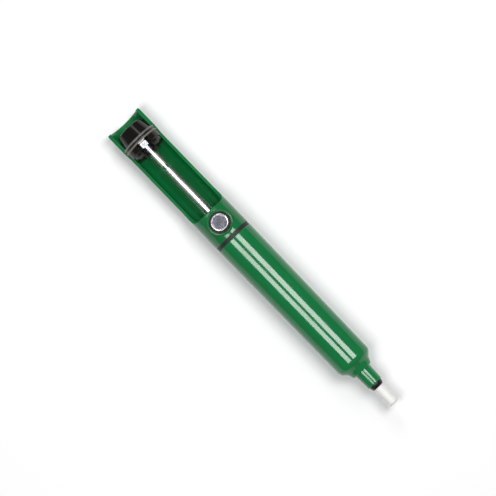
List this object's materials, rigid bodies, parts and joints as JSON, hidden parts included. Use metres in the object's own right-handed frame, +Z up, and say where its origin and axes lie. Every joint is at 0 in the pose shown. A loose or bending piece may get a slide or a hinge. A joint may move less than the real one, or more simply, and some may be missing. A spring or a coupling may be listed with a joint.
{
  "type": "desoldering pump",
  "caption": "Hand-held spring desoldering pump with a half-pipe handle, push-in plunger knob, side release button, twist-off barrel and heat-proof nozzle.",
  "frame": {"origin": "on the bench, under the middle of the pump's length, where the pump lies on its handle and barrel with the button on top", "axes": "+X along the pump towards the nozzle, +Z up through the release button, +Y to the left of someone looking along +X"},
  "size_m": [0.212, 0.023, 0.0262],
  "materials": {
    "green_plastic": "glossy moulded plastic",
    "black_gloss_plastic": "glossy moulded plastic",
    "black_nylon": "satin",
    "white_acetal": "satin, turned",
    "white_ptfe": "waxy, slightly see-through",
    "black_rubber": "moulded rubber",
    "chromed_steel": "polished",
    "bright_aluminium": "turned and polished",
    "ground_steel": "ground bright",
    "bright_steel": "zinc-plated or bright",
    "spring_wire": "drawn wire"
  },
  "bodies": {
    "housing": {"housing": "green_plastic", "rear_rod_bush": "black_nylon", "front_rod_guide": "white_acetal", "recoil_bumper": "black_rubber", "barrel_seal": "black_rubber", "button_bezel": "black_gloss_plastic", "button_spring": "spring_wire"},
    "plunger": {"plunger_rod": "ground_steel", "plunger_knob": "black_gloss_plastic", "knob_locknut": "chromed_steel", "knob_ferrule": "chromed_steel", "piston_body": "white_acetal", "piston_ring": "black_rubber", "piston_snap_ring": "bright_steel", "piston_washer": "bright_steel", "piston_nut": "bright_steel", "cleaning_pin": "bright_steel"},
    "button": {"release_button": "bright_aluminium", "latch_slide": "bright_steel"},
    "barrel": {"barrel": "green_plastic", "nozzle": "white_ptfe", "nozzle_grommet": "black_rubber", "main_spring": "spring_wire"}
  },
  "joints": [
    {"name": "plunger_slide", "type": "slide", "parent": "housing", "child": "plunger", "axis": [1, 0, 0], "range_m": [0, 0.043], "stiffness_N_per_m": 500, "springref_m": -0.025, "deforming": ["main_spring"]},
    {"name": "button_press", "type": "slide", "parent": "housing", "child": "button", "axis": [0, 0, -1], "range_m": [0, 0.002], "stiffness_N_per_m": 300, "springref_m": -0.003, "deforming": ["button_spring"]},
    {"name": "barrel_twist", "type": "hinge", "parent": "housing", "child": "barrel", "pos_m": [-0.0145, 0, 0.0115], "axis": [1, 0, 0], "range_deg": [0, 25]}
  ]
}
